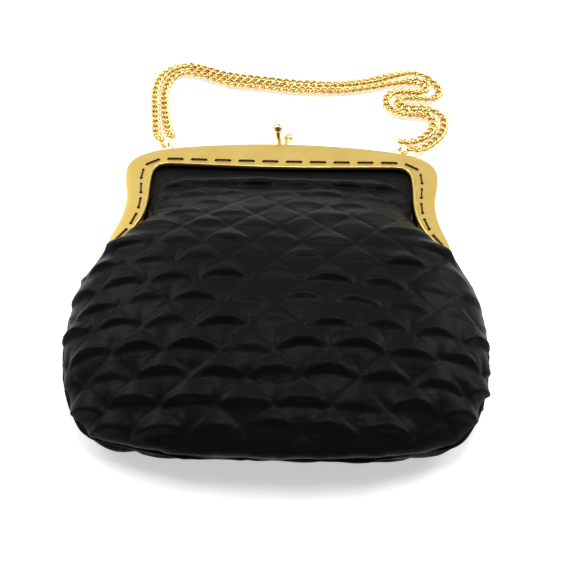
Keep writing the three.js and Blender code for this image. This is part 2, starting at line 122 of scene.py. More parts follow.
def catmull(points, t, knots=0.0):
    """Catmull-Rom points at t, counted in spans. knots 0.0 is uniform and 0.5 is centripetal."""
    p = np.array(points, float)
    p = np.vstack([2 * p[0] - p[1], p, 2 * p[-1] - p[-2]])
    t = np.clip(np.asarray(t, float), 0, len(points) - 1)
    i = np.minimum(t.astype(int), len(points) - 2)
    w = (t - i)[:, None]
    p0, p1, p2, p3 = p[i], p[i + 1], p[i + 2], p[i + 3]
    d0, d1, d2 = (np.maximum(np.linalg.norm(b - a, axis=1, keepdims=True), 1e-6) ** knots
                  for a, b in ((p0, p1), (p1, p2), (p2, p3)))
    m1 = ((p1 - p0) / d0 - (p2 - p0) / (d0 + d1) + (p2 - p1) / d1) * d1
    m2 = ((p2 - p1) / d1 - (p3 - p1) / (d1 + d2) + (p3 - p2) / d2) * d1
    h1 = 2 * w**3 - 3 * w**2 + 1
    h2 = w**3 - 2 * w**2 + w
    h3 = -2 * w**3 + 3 * w**2
    h4 = w**3 - w**2
    return h1 * p1 + h2 * m1 + h3 * p2 + h4 * m2


def along(path):
    """Distance along a path of points."""
    return np.concatenate([[0], np.cumsum(np.linalg.norm(np.diff(path, axis=0), axis=1))])


def resample(path, distances):
    d = along(path)
    return np.stack([np.interp(distances, d, path[:, k]) for k in range(path.shape[1])], axis=1)


def loft(loops, ring=False):
    """Points and faces of a body from a row of closed loops."""
    loops = np.asarray(loops, float)
    rows, n = loops.shape[:2]
    faces = []
    for i in range(rows if ring else rows - 1):
        a, b = i * n, ((i + 1) % rows) * n
        faces += [(a + j, a + (j + 1) % n, b + (j + 1) % n, b + j) for j in range(n)]
    if not ring:
        faces.append(tuple(range(n - 1, -1, -1)))
        faces.append(tuple(range((rows - 1) * n, rows * n)))
    return loops.reshape(-1, 3), faces


def joined(parts):
    """One list of points and faces from several."""
    points, faces, count = [], [], 0
    for p, f in parts:
        points.append(np.asarray(p, float))
        faces += [tuple(k + count for k in face) for face in f]
        count += len(p)
    return np.vstack(points), faces


def moved(part, matrix):
    p, f = part
    m = np.array(matrix)
    return p @ m[:3, :3].T + m[:3, 3], f


def make(name, part, material, body=None, sharp=None):
    points, faces = part
    mesh = bpy.data.meshes.new(name)
    mesh.from_pydata((np.asarray(points) * MM).tolist(), [], faces)
    mesh.polygons.foreach_set("use_smooth", [True] * len(mesh.polygons))
    mesh.materials.append(material)
    mesh.update()
    if sharp:
        mesh.set_sharp_from_angle(angle=math.radians(sharp))
    obj = bpy.data.objects.new(name, mesh)
    bpy.context.scene.collection.objects.link(obj)
    if body:
        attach(obj, body)
    return obj


def tube(path, radius, sides=10, closed=False, twist=None, lobes=0, depth=0.0):
    """A round tube along a path. lobes and depth give it plies, turned by twist."""
    path = np.asarray(path, float)
    if closed:
        tangent = unit(np.roll(path, -1, 0) - np.roll(path, 1, 0))
    else:
        tangent = unit(np.gradient(path, axis=0))
    normal = np.zeros_like(path)
    last = np.array([0.0, 0.0, 1.0])
    for i, t in enumerate(tangent):
        last = last - t * (last @ t)
        if np.linalg.norm(last) < 1e-6:
            last = np.cross(t, [1.0, 0.3, 0.2])
        last = last / np.linalg.norm(last)
        normal[i] = last
    side = np.cross(tangent, normal)
    angle = np.linspace(0, 2 * np.pi, sides, endpoint=False)
    turn = np.zeros(len(path)) if twist is None else np.asarray(twist)
    r = np.broadcast_to(radius, (len(path),))
    a = angle[None, :] + turn[:, None]
    rr = r[:, None] * (1 + depth * np.cos(lobes * angle)[None, :])
    loops = (path[:, None] + rr[..., None] * (np.cos(a)[..., None] * normal[:, None]
             + np.sin(a)[..., None] * side[:, None]))
    return loft(loops[:, ::-1], ring=closed)


def torus(radius, wire, steps=40, sides=12):
    t = np.linspace(0, 2 * np.pi, steps, endpoint=False)
    path = np.stack([radius * np.cos(t), radius * np.sin(t), 0 * t], axis=1)
    return tube(path, wire, sides, closed=True)


def shift(x, y, z):
    return Matrix.Translation((x, y, z))


def turn(axis, degrees):
    return Matrix.Rotation(math.radians(degrees), 4, axis)


# ---------- camera ----------
CAMERA = Vector((0.0062, -0.2608, 0.3344))
TARGET = Vector((0.0038, -0.0324, 0.0420))
LENS = 48.9
ROLL = 0.7

cam_data = bpy.data.cameras.new("camera")
cam_data.lens = LENS
cam_data.sensor_width = 36
cam_data.clip_start = 0.01
camera = bpy.data.objects.new("camera", cam_data)
bpy.context.scene.collection.objects.link(camera)
camera.location = CAMERA
look = (TARGET - CAMERA).to_track_quat("-Z", "Y").to_matrix().to_4x4()
camera.matrix_world = Matrix.Translation(CAMERA) @ look @ Matrix.Rotation(math.radians(ROLL), 4, "Z")
bpy.context.scene.camera = camera


# ---------- materials ----------
def material(name, base, roughness, metallic=0.0, **sockets):
    mat = bpy.data.materials.new(name)
    mat.use_nodes = True
    shader = mat.node_tree.nodes["Principled BSDF"]
    shader.inputs["Base Color"].default_value = (*base, 1)
    shader.inputs["Roughness"].default_value = roughness
    shader.inputs["Metallic"].default_value = metallic
    for key, value in sockets.items():
        shader.inputs[key.replace("_", " ")].default_value = value
    return mat, mat.node_tree, shader


def node(tree, kind, **values):
    made = tree.nodes.new("ShaderNode" + kind)
    for key, value in values.items():
        if hasattr(made, key):
            setattr(made, key, value)
        else:
            made.inputs[key.replace("_", " ")].default_value = value
    return made


def object_space(tree, scale):
    """Object coordinates in millimetres times scale."""
    place = node(tree, "TexCoord")
    mapping = node(tree, "Mapping")
    mapping.inputs["Scale"].default_value = [s / MM for s in scale]
    tree.links.new(place.outputs["Object"], mapping.inputs["Vector"])
    return mapping.outputs["Vector"]


def noise(tree, scale, detail=3.0, roughness=0.5):
    made = node(tree, "TexNoise", Scale=1.0, Detail=detail, Roughness=roughness)
    tree.links.new(object_space(tree, scale), made.inputs["Vector"])
    return made.outputs["Fac"]


def ramp(tree, source, low, high, to_low=0.0, to_high=1.0):
    made = node(tree, "MapRange")
    made.inputs["From Min"].default_value = low
    made.inputs["From Max"].default_value = high
    made.inputs["To Min"].default_value = to_low
    made.inputs["To Max"].default_value = to_high
    tree.links.new(source, made.inputs["Value"])
    return made.outputs["Result"]


def mix_colour(tree, factor, a, b):
    made = node(tree, "Mix", data_type="RGBA")
    made.inputs["A"].default_value = (0, 0, 0, 1)
    for socket, value in (("A", a), ("B", b)):
        target = [i for i in made.inputs if i.name == socket and i.type == "RGBA"][0]
        if isinstance(value, tuple):
            target.default_value = (*value, 1)
        else:
            tree.links.new(value, target)
    tree.links.new(factor, [i for i in made.inputs if i.name == "Factor" and i.type == "VALUE"][0])
    return [o for o in made.outputs if o.type == "RGBA"][0]


def maths(tree, operation, a, b=None):
    made = node(tree, "Math", operation=operation)
    for i, value in enumerate((a, b)):
        if value is None:
            continue
        if isinstance(value, (int, float)):
            made.inputs[i].default_value = value
        else:
            tree.links.new(value, made.inputs[i])
    return made.outputs[0]


def bump(tree, shader, heights, strength=0.5):
    """heights is a list of (source, millimetres); each bump builds on the last."""
    last = None
    for source, distance in heights:
        made = node(tree, "Bump", Strength=strength, Distance=distance * MM)
        tree.links.new(source, made.inputs["Height"])
        if last is not None:
            tree.links.new(last, made.inputs["Normal"])
        last = made.outputs["Normal"]
    tree.links.new(last, shader.inputs["Normal"])


def gold_satin():
    """Gold-tone plating with a soft lengthwise grain, cloudy handling marks and small scratches."""
    mat, tree, shader = material("gold_satin", (0.76, 0.55, 0.155), 0.38, 1.0)
    cloud = noise(tree, (0.045, 0.045, 0.045), 4, 0.6)
    grain = noise(tree, (0.08, 3.2, 3.2), 2, 0.6)
    fine = noise(tree, (2.4, 2.4, 2.4), 3, 0.6)
    scratch = noise(tree, (0.9, 0.12, 0.5), 5, 0.75)
    tone = mix_colour(tree, ramp(tree, cloud, 0.35, 0.68), (0.82, 0.60, 0.175), (0.70, 0.49, 0.125))
    mark = ramp(tree, scratch, 0.66, 0.72)
    tone = mix_colour(tree, mark, tone, (0.82, 0.65, 0.32))
    tree.links.new(tone, shader.inputs["Base Color"])
    rough = maths(tree, "ADD", ramp(tree, cloud, 0.3, 0.7, 0.30, 0.43),
                  ramp(tree, grain, 0.3, 0.7, -0.04, 0.05))
    tree.links.new(rough, shader.inputs["Roughness"])
    bump(tree, shader, [(grain, 0.012), (fine, 0.02), (mark, -0.01)], 0.6)
    return mat


def gold_polished(name, base, deep, roughness):
    """Bright plating that is browner where it has worn, with faint pits."""
    mat, tree, shader = material(name, base, roughness, 1.0)
    cloud = noise(tree, (0.35, 0.35, 0.35), 4, 0.6)
    pits = noise(tree, (3.5, 3.5, 3.5), 3, 0.6)
    tone = mix_colour(tree, ramp(tree, cloud, 0.42, 0.72), base, deep)
    tree.links.new(tone, shader.inputs["Base Color"])
    rough = ramp(tree, cloud, 0.3, 0.75, roughness * 0.75, roughness * 1.6)
    tree.links.new(rough, shader.inputs["Roughness"])
    bump(tree, shader, [(pits, 0.012)], 0.5)
    return mat


def satin(name, base, light, roughness):
    """Satin: floats of thread along Y, a fine slub, and a few lighter fibres."""
    mat, tree, shader = material(name, base, roughness)
    shader.inputs["Specular IOR Level"].default_value = 0.038
    floats = noise(tree, (5.5, 0.9, 5.5), 2, 0.5)
    slub = noise(tree, (0.25, 2.2, 0.6), 3, 0.6)
    crumple = noise(tree, (0.16, 0.34, 0.20), 4, 0.62)
    tone = mix_colour(tree, ramp(tree, floats, 0.45, 0.72), base, light)
    tree.links.new(tone, shader.inputs["Base Color"])
    rough = ramp(tree, slub, 0.3, 0.7, roughness - 0.05, roughness + 0.07)
    tree.links.new(rough, shader.inputs["Roughness"])
    bump(tree, shader, [(crumple, 0.55), (floats, 0.03), (slub, 0.025)], 0.5)
    return mat


def thread_material(name, base, light):
    mat, tree, shader = material(name, base, 0.62)
    shader.inputs["Specular IOR Level"].default_value = 0.2
    fibre = noise(tree, (3.0, 3.0, 6.0), 3, 0.6)
    tree.links.new(mix_colour(tree, ramp(tree, fibre, 0.4, 0.7), base, light), shader.inputs["Base Color"])
    bump(tree, shader, [(fibre, 0.05)], 0.7)
    return mat


GOLD = gold_satin()
BALL_GOLD = gold_polished("gold_polished", (0.92, 0.72, 0.34), (0.80, 0.52, 0.20), 0.17)
CHAIN_GOLD = gold_polished("gold_chain", (0.88, 0.66, 0.26), (0.66, 0.42, 0.13), 0.22)
SATIN = satin("black_satin", (0.0048, 0.0046, 0.0048), (0.0086, 0.0082, 0.0086), 0.33)
LINING_SATIN = satin("lining_satin", (0.013, 0.012, 0.0125), (0.024, 0.022, 0.024), 0.50)
BROWN_THREAD = thread_material("brown_thread", (0.013, 0.0035, 0.003), (0.035, 0.010, 0.008))

# ---------- the chain: two strands of curb links ----------
LOW = 2.75  # middle of a strand that lies flat on the surface
WIRE = 1.02  # radius of a link's wire
LINK_PITCH = 4.95
LINK_HALF_WIDTH = 2.1  # of the wire's middle line
LINK_TWIST = -46  # degrees, from one end of a link to its middle
END_GAP = 1.8  # from a strand's end to its first link's middle
HEAP_START = 235  # distance along a strand to where it lies loosely heaped
HEAP_BLEND = 12
# (x, distance past the frame's top edge, z) along each strand, from the left ring to the right one.
STRAND_1 = [
    (-77.2, 6.2, 6.0), (-80.8, 14, 3.3), (-83, 26, LOW), (-85.3, 42, LOW), (-87, 58, LOW),
    (-85, 73, LOW), (-77.5, 83.5, LOW), (-68, 87, LOW), (-56, 83.4, LOW), (-42, 77.6, LOW),
    (-16, 72.8, LOW), (11, 69.4, LOW), (41, 70.2, LOW), (60, 74.6, LOW), (75, 80.8, LOW),
    (87, 83.6, LOW), (95.5, 80.4, LOW), (101.2, 73.4, LOW), (104.2, 66, LOW), (103.2, 59.4, LOW),
    (98, 56, LOW), (90, 56.2, LOW), (81.2, 56.6, LOW), (77.4, 55, LOW), (75.8, 51.2, LOW),
    (77.4, 47.4, LOW), (81.2, 45.8, LOW), (91, 45.6, LOW), (99.4, 43, LOW), (104, 36.4, LOW),
    (104, 28, LOW), (100.6, 19.6, LOW), (94.4, 11.8, LOW), (87, 5.6, 3.3), (79.6, 2.9, 5.6),
]
STRAND_2 = [
    (-70.8, 9.6, 6.0), (-73.5, 17.5, 3.3), (-76.5, 28, LOW), (-78.9, 43, LOW), (-80.5, 57, LOW),
    (-78.6, 70, LOW), (-73.8, 77.5, LOW), (-67.5, 80.2, LOW), (-54.5, 76, LOW), (-40.5, 70, LOW),
    (-16, 66.4, LOW), (11, 63, LOW), (41, 63.6, LOW), (58, 67.4, LOW), (71, 71.6, LOW),
    (81.6, 73.8, LOW), (90.4, 73.6, LOW), (94.3, 71.9, LOW), (95.9, 68, LOW), (94.3, 64.1, LOW),
    (90.4, 62.5, LOW), (83, 62.9, LOW), (75.6, 62.6, LOW), (70.4, 59.4, LOW), (68.2, 53.4, LOW),
    (68.8, 46.6, LOW),
    (73.2, 41.6, LOW), (81, 39.6, LOW), (90, 39.2, LOW), (95.8, 36, LOW), (97.4, 30, LOW),
    (95.2, 23.4, LOW), (90.6, 17.8, LOW), (85.2, 14.2, LOW), (80, 11.8, 3.3), (74.2, 9.2, 6.0),
]


def curb_link(half_length):
    """One link about its own middle: an oval of wire whose two ends are turned opposite ways."""
    t = np.linspace(0, 2 * np.pi, 30, endpoint=False)
    c, s = np.cos(t), np.sin(t)
    x = half_length * np.sign(c) * np.abs(c) ** 0.9
    y = LINK_HALF_WIDTH * np.sign(s) * np.abs(s) ** 0.86
    twist = math.radians(LINK_TWIST) * x / half_length
    path = np.stack([x, y * np.cos(twist), y * np.sin(twist)], axis=1)
    return tube(path, WIRE, 9, closed=True)


def chain_strand(name, points, seed):
    path = catmull([(x, FRAME_TOP_Y + past, z) for x, past, z in points],
                   np.linspace(0, len(points) - 1, 1600), knots=0.5)
    d = along(path)
    count = round((d[-1] - 2 * END_GAP) / LINK_PITCH) + 1
    middles = np.linspace(END_GAP, d[-1] - END_GAP, count)
    pitch = middles[1] - middles[0]
    link = curb_link(pitch / 2 + WIRE)
    wander = np.random.default_rng(seed)
    phase = wander.uniform(0, 6.28, 4)
    parts = []
    for s in middles:
        a, b = resample(path, np.array([max(s - pitch / 2, 0), min(s + pitch / 2, d[-1])]))
        forward = Vector(b - a).normalized()
        up = Vector((0, 0, 1))
        across = up.cross(forward).normalized()
        roll = 9 * math.sin(s / 23 + phase[0]) + 6 * math.sin(s / 9 + phase[1]) + wander.normal(0, 3.5)
        share = float(smooth(s, HEAP_START - HEAP_BLEND, HEAP_START + HEAP_BLEND))
        roll += share * (24 * math.sin(s / 14 + phase[2]) + 10 * math.sin(s / 6 + phase[3]))
        up = forward.cross(across)
        turned = Matrix((forward, across, up)).transposed().to_4x4()
        middle = resample(path, np.array([s]))[0]
        parts.append(moved(link, shift(*middle) @ turned @ turn("X", roll)))
    obj = make(name + "_links", joined(parts), CHAIN_GOLD, "rear_half")
    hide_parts(name)
    line = resample(path, np.linspace(0, d[-1], 260)) * MM
    return obj, line, d[-1] * MM


strand_1, line_1, length_1 = chain_strand("chain_strand_1", STRAND_1, 3)
strand_2, line_2, length_2 = chain_strand("chain_strand_2", STRAND_2, 8)

# ---------- lugs, rings and end links ----------
LUG_U = 70
LUG_V = 7.5
LUG_TURN = 16
PAD_SEAT = 1.2
EYE_RADIUS = 1.9
EYE_WIRE = 0.6
EYE_Z = 2.6
RING_RADIUS = 3.6
RING_WIRE = 0.55
RING_TILT = 20
LINK_ANGLES = {"left": (50, -4), "right": (-22, -76)}


def block(x, y, z, rounding):
    """A box with rounded corners, as a loft of rounded rectangles along Z."""
    a = np.linspace(0, 2 * np.pi, 24, endpoint=False)
    corner = np.stack([np.sign(np.cos(a)) * (x / 2 - rounding) + rounding * np.cos(a),
                       np.sign(np.sin(a)) * (y / 2 - rounding) + rounding * np.sin(a)], axis=1)
    loops = []
    for h in (0, 0.35, 0.7, 1):
        inset = rounding * (1 - math.sin(h * math.pi / 2))
        scale = np.array([1 - 2 * inset / x, 1 - 2 * inset / y])
        low = -z / 2 + rounding * (1 - math.cos(h * math.pi / 2))
        loops.append(np.column_stack([corner * scale, np.full(24, low)]))
    loops += [loop * [1, 1, -1] for loop in reversed(loops)]
    return loft(loops)


def end_pieces(side):
    name = "right" if side > 0 else "left"
    reach = PAD_SEAT + EYE_RADIUS + EYE_WIRE
    lean = -side * LUG_TURN
    base = shift(side * (LUG_U + math.sin(math.radians(LUG_TURN)) * reach),
                 FRAME_TOP_Y - LUG_V + math.cos(math.radians(LUG_TURN)) * reach, EYE_Z) @ turn("Z", lean)
    eye = moved(torus(EYE_RADIUS, EYE_WIRE, 36, 14), turn("Y", 90))
    neck = moved(block(2.2, 1.2, 1.9, 0.4), shift(0, -EYE_RADIUS - 0.1, 0))
    pad = moved(block(4.4, 1.0, 3.0, 0.3), shift(0, -EYE_RADIUS - EYE_WIRE - 0.3, 0.2))
    lug = make("lug_" + name, moved(joined([eye, neck, pad]), base), GOLD, "rear_half", sharp=50)
    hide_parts("chain_lug_" + name)
    tilted = base @ turn("X", RING_TILT)
    middle = tilted @ shift(0, RING_RADIUS, 0)
    t = np.radians(np.linspace(97, 443, 60))
    path = np.stack([RING_RADIUS * np.cos(t), RING_RADIUS * np.sin(t), 0 * t], axis=1)
    ring = make("ring_" + name, moved(tube(path, RING_WIRE, 12), middle), BALL_GOLD,
                name + "_ring", sharp=60)
    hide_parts("jump_ring_" + name)
    made = []
    for i, degrees in enumerate(LINK_ANGLES[name]):
        place = middle @ turn("Z", degrees - lean) @ shift(0, RING_RADIUS + RING_WIRE, 0) @ turn("Y", 90)
        link = make(f"first_link_{name}_{i + 1}", moved(torus(1.9, 0.6, 32, 12), place), CHAIN_GOLD,
                    name + "_ring")
        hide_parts(f"end_link_{name}_{i + 1}")
        made.append(link)
    return made


left_links = end_pieces(-1)
right_links = end_pieces(1)

# ---------- the frame's two plates ----------
HALF_STATIONS = 110
HOLE = 0.8  # radius of a stitch hole
HOLE_EDGE = 1.1  # radius of the hole's rounded mouth
REAR_EARS = (86.0, 86.8)  # inner and outer face of each hinge ear
FRONT_EARS = (84.9, 85.6)
THREAD_STEP = 0.34
THREAD_LAY = 3.6  # length in which a ply turns once


def space_at(v):
    return FRONT_INNER_Z - REAR_INNER_Z + v * math.tan(WEDGE)


def rim_height(v):
    return lerp((space_at(v) - RIM_GAP) / 2, WING_RIM, smooth(v, 50, 61))


def plate_body():
    """A stamped plate with its rim turned in, a crowned face and a rolled lip, in its own frame."""
    t = np.linspace(0, len(OUTER_EDGE) - 1, HALF_STATIONS + 1)
    outer = catmull(OUTER_EDGE, t)
    inner = catmull(INNER_EDGE, t)
    flip = np.array([-1, 1])
    outer = np.vstack([(outer * flip)[:0:-1], outer])
    inner = np.vstack([(inner * flip)[:0:-1], inner])
    loops = []
    for o, i in zip(outer, inner):
        across = i - o
        width = np.linalg.norm(across)
        across = across / width
        rim = float(rim_height(o[1]))
        wall = [(0.25, -rim), (0.05, -rim + 0.12), (0, -rim + 0.35), (0, PLATE - 0.95),
                (0.05, PLATE - 0.62), (0.2, PLATE - 0.3), (0.45, PLATE - 0.1)]
        face = [(lerp(0.9, width - 2.5, k), PLATE - 0.02 + 0.10 * math.sin(k * math.pi))
                for k in (0.0, 0.25, 0.5, 0.75, 1.0)]
        lip = [(width - 2.2, PLATE + 0.0), (width - 2.05, PLATE + 0.16), (width - 1.8, PLATE + 0.46),
               (width - 1.45, PLATE + 0.7), (width - 1.05, PLATE + LIP), (width - 0.65, PLATE + 0.74),
               (width - 0.32, PLATE + 0.5), (width - 0.1, PLATE + 0.12), (width, PLATE - 0.35)]
        back = [(width - 0.05, 0.12), (width - 0.2, 0), (RIM_WALL + 0.3, 0), (RIM_WALL, -0.25),
                (RIM_WALL, -rim + 0.2), (RIM_WALL - 0.2, -rim)]
        section = wall + face + lip + back
        loops.append([(o[0] + across[0] * a, -(o[1] + across[1] * a), z) for a, z in section])
    return loft(loops)


def stitch_ends():
    """(start, end) of each visible stitch in (u, v), from the left tip round to the right one."""
    path = catmull(STITCH_LINE, np.linspace(0, len(STITCH_LINE) - 1, 900))
    right = []
    corner = (TOP_STITCHES / 2 - 0.5) * STITCH_PITCH
    middles = [(k + 0.5) * STITCH_PITCH for k in range(TOP_STITCHES // 2)]
    middles += [corner + k * SIDE_PITCH for k in range(1, SIDE_STITCHES + 1)]
    for middle in middles:
        right.append(resample(path, np.array([middle - DASH / 2, middle + DASH / 2])))
    flip = np.array([-1, 1])
    left = [(b * flip, a * flip) for a, b in right][::-1]
    return left + [tuple(pair) for pair in right]


def plate_matrix(front):
    if front:
        return shift(0, FRAME_TOP_Y, FRONT_INNER_Z) @ turn("X", -math.degrees(WEDGE))
    return shift(0, FRAME_TOP_Y, REAR_INNER_Z) @ turn("Y", 180)


def ear_body(u0, u1, pin):
    """A tongue from the plate to the hinge pin, with rounded end."""
    a = np.linspace(math.pi, 2 * math.pi, 15)
    outline = [(-4.5, 0.3)] + [(4.5 * math.cos(k), pin.z + 4.5 * math.sin(k)) for k in a] + [(4.5, 0.3)]
    loops = []
    for u, inset in ((u0, 0.12), (u0 + 0.12, 0), (u1 - 0.12, 0), (u1, 0.12)):
        loops.append([(u, pin.y + y * (1 - inset / 4.5), z + (inset if z < 0 else 0)) for y, z in outline])
    return loft(loops)


def cut(obj, cutter):
    """Takes the cutter's body out of obj's mesh."""
    modifier = obj.modifiers.new("holes", "BOOLEAN")
    modifier.operation = "DIFFERENCE"
    modifier.solver = "EXACT"
    modifier.object = cutter
    bpy.context.view_layer.update()
    evaluated = obj.evaluated_get(bpy.context.evaluated_depsgraph_get())
    mesh = bpy.data.meshes.new_from_object(evaluated)
    obj.modifiers.clear()
    obj.data = mesh
    bpy.data.objects.remove(cutter)


def frame_plate(front):
    name = "front" if front else "rear"
    matrix = plate_matrix(front)
    pin = matrix.inverted() @ Vector((0, HINGE_Y, HINGE_Z))
    obj = make(name + "_plate", moved(plate_body(), matrix), GOLD)
    holes = []
    angles = np.linspace(0, 2 * math.pi, 14, endpoint=False)
    for a, b in stitch_ends():
        for p in (a, b):
            holes.append(loft([[(p[0] + r * math.cos(k), -p[1] + r * math.sin(k), z) for k in angles]
                               for r, z in ((HOLE, -2), (HOLE, PLATE - 0.22),
                                            (HOLE_EDGE, PLATE + 0.12), (HOLE_EDGE, PLATE + 2))]))
    cut(obj, make(name + "_cutter", moved(joined(holes), matrix), GOLD))
    faces = FRONT_EARS if front else REAR_EARS
    ears = joined([ear_body(*faces, pin), ear_body(-faces[1], -faces[0], pin)])
    ears = make(name + "_ears", moved(ears, matrix), GOLD)
    with bpy.context.temp_override(active_object=obj, selected_editable_objects=[obj, ears]):
        bpy.ops.object.join()
    obj.data.polygons.foreach_set("use_smooth", [True] * len(obj.data.polygons))
    obj.data.set_sharp_from_angle(angle=math.radians(38))
    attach(obj, name + "_half")
    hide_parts(name + "_frame")


def running_thread(front):
    """The waxed thread: a plied cord over the face between holes, and under it to the next hole."""
    name = "front" if front else "rear"
    over = PLATE + 0.46
    under = -0.55
    route = []
    for a, b in stitch_ends():
        flat = unit(b - a)
        for p, z in ((a - flat * 0.25, under), (a - flat * 0.1, 0.3), (a, PLATE - 0.1),
                     (a + flat * 0.5, over - 0.12), (a + flat * 1.6, over),
                     (lerp(a, b, 0.5), over + 0.06),
                     (b - flat * 1.6, over), (b - flat * 0.5, over - 0.12),
                     (b, PLATE - 0.1), (b + flat * 0.1, 0.3), (b + flat * 0.25, under)):
            route.append((p[0], -p[1], z))
    path = catmull(route, np.linspace(0, len(route) - 1, len(route) * 5), knots=0.5)
    d = along(path)
    path = resample(path, np.arange(0, d[-1], THREAD_STEP))
    twist = np.arange(len(path)) * THREAD_STEP * 2 * math.pi / THREAD_LAY
    ends = np.array([(p[0], -p[1]) for pair in stitch_ends() for p in pair])
    away = np.linalg.norm(path[:, None, :2] - ends[None], axis=2).min(axis=1)
    thread = tube(path, 0.40 + 0.34 * np.exp(-(away / 0.75) ** 2), 12, twist=twist, lobes=3, depth=0.13)
    obj = make(name + "_thread", moved(thread, plate_matrix(front)), BROWN_THREAD, name + "_half")
    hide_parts(name + "_stitching")


for is_front in (True, False):
    frame_plate(is_front)
    running_thread(is_front)


# ---------- hinge pins ----------
RIVET_HEAD = 1.9  # radius
RIVET_CROWN = 0.7
PIN = 1.0  # radius


def turned(profile, sides=32):
    """A body turned about Z from (radius, z) pairs that start and end on the axis."""
    a = np.linspace(0, 2 * np.pi, sides, endpoint=False)
    loops = [[(max(r, 1e-3) * math.cos(k), max(r, 1e-3) * math.sin(k), z) for k in a] for r, z in profile]
    return loft(loops)


def dome(radius, height, z, direction, steps=6):
    quarter = np.linspace(0, math.pi / 2, steps)
    return [(radius * math.cos(k), z + direction * height * math.sin(k)) for k in quarter]


for side, name in ((1, "right"), (-1, "left")):
    profile = dome(RIVET_HEAD, RIVET_CROWN, 84.6, -1)[::-1]
    profile += [(RIVET_HEAD, 84.62), (PIN, 84.64), (PIN, 87.08), (RIVET_HEAD, 87.1)]
    profile += dome(RIVET_HEAD, RIVET_CROWN, 87.12, 1)
    rivet = moved(turned(profile), shift(0, HINGE_Y, HINGE_Z) @ turn("Y", 90 * side))
    obj = make("rivet_" + name, rivet, GOLD, "rear_half", sharp=50)
    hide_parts("hinge_pin_" + name)

# ---------- kiss-lock clasp ----------
BALL_RADIUS = 3.2
BALL_OFFSET = 3.3
BALL_REACH = 10.5
REAR_ROOT_Z = 3.4
REAR_BALL_Z = 13.2
FRONT_ROOT_Z = 7.2
FRONT_BALL_Z = 5.2


def clasp(half, x, root_z, ball_z):
    y = FRAME_TOP_Y
    rise = ball_z - root_z
    route = [(x * 0.5, y + 1.2, root_z), (x * 0.5, y + 2.4, root_z + rise * 0.02),
             (x * 0.6, y + 4.0, root_z + rise * 0.15),
             (x, y + BALL_REACH - 2, ball_z - math.copysign(1.6, rise)), (x, y + BALL_REACH, ball_z)]
    path = catmull(route, np.linspace(0, len(route) - 1, 60), knots=0.5)
    radius = 1.3 + 0.5 * np.exp(-(along(path) / 1.1) ** 2) + 0.25 * smooth(along(path), 6, 9.5)
    stem = tube(path, radius, 20)
    toward = Vector(path[-8] - path[-1]).normalized().to_track_quat("Z", "Y").to_matrix().to_4x4()
    profile = []
    for k in np.linspace(-math.pi / 2, math.pi / 2, 29):
        bulge = 1 + 0.02 * math.exp(-((k - 0.1) / 0.05) ** 2)
        profile.append((BALL_RADIUS * math.cos(k) * bulge, BALL_RADIUS * math.sin(k)))
    ball = moved(turned(profile, 40), shift(x, y + BALL_REACH, ball_z) @ toward)
    post = make(half + "_post", joined([stem, ball]), BALL_GOLD, half + "_half", sharp=60)
    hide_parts(half + "_clasp_post")
    a = np.linspace(0, 2 * np.pi, 40, endpoint=False)
    loops = []
    for scale, h in ((0.97, 0), (1, 0.12), (1, 0.5), (0.95, 0.72), (0.8, 0.86), (0.5, 0.9)):
        loops.append(np.column_stack([x / 2 + 4.6 * scale * np.cos(a), np.full(40, y + 0.3 + h),
                                      root_z - 1.4 * scale * np.sin(a)]))
    base = make(half + "_post_base", loft(loops), GOLD, half + "_half", sharp=50)
    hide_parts(half + "_clasp_base")


clasp("rear", -BALL_OFFSET, REAR_ROOT_Z, REAR_BALL_Z)
clasp("front", BALL_OFFSET, FRONT_ROOT_Z, FRONT_BALL_Z)

# ---------- the pouch ----------
DIAMOND = 25.4  # the quilting's diamonds, corner to corner
CELLS = 20  # steps of the fabric's grid across one diamond, so its stitch lines fall on points
STEP = DIAMOND / CELLS
TOP_V = 17.0
FOLD_HEIGHT = 3.0
DROP = 2.7  # length of a fold's steep side, towards the foot
SLUMP = 0.32
SEWN_DEPTH = 0.14
SLACK = 0.004
SWELL = 0.004
BEND = 0.03
SWEEPS = 3  # of the links in each step
STEPS = 24
PATTERN_ROWS = 6  # rows of the grid from the panel's top edge to the first row of corners
SHOULDER_V = 104.0
TUCK = 8.6
BRIM = 5.0
OVERHANG = 6.0

inner_u = curve([(v, u) for u, v in INNER_EDGE[9:]], 1.5)
wide = curve([(96, 84), (100, 89.6), (SHOULDER_V, 95.8), (108, 99.5), (114, 101.6), (126, 103.6),
              (142, 104.2), (158, 103.6), (174, 100.8), (188, 95.4), (198, 89.4), (206, 82), (211, 75),
              (215, 66), (218, 55), (POUCH_END_V, 42)], 1.5)
crown = curve([(15, 9.3), (27, 11.6), (40, 16.5), (54, 22.5), (68, 28.5), (82, 34), (95, 38), (112, 41.2),
               (128, 42.2), (150, 41.4), (170, 38.4), (188, 33.6), (200, 30.2), (208, 27.4), (214, 23.6),
               (217.5, 20), (219.5, 16), (POUCH_END_V, 12.6)], 1.6)
seam_z = curve([(58, 9.5), (70, 7.6), (80, 5.2), (99, 4.4), (108, 9), (117, 12.8), (130, 14.5),
                (180, 14), (204, 13), (POUCH_END_V, 12.4)], 4)
floor_z = curve([(198, 0.2), (208, 0.7), (214, 2.6), (218, 6.6), (POUCH_END_V, 12.2)], 2)


def body_half(v):
    """Half width of the full part of the pouch, which stands up between the wings."""
    sides = lerp(ARM_HALF, inner_u(v) - 0.2, smooth(v, 51, 59))
    return lerp(sides, wide(v), smooth(v, 96.5, 101.5))


def pouch_half(v):
    """Half width out to the side seam, which runs on between the wings."""
    return body_half(v) + BRIM * smooth(v, 62, 72) * (1 - smooth(v, 90, 98))


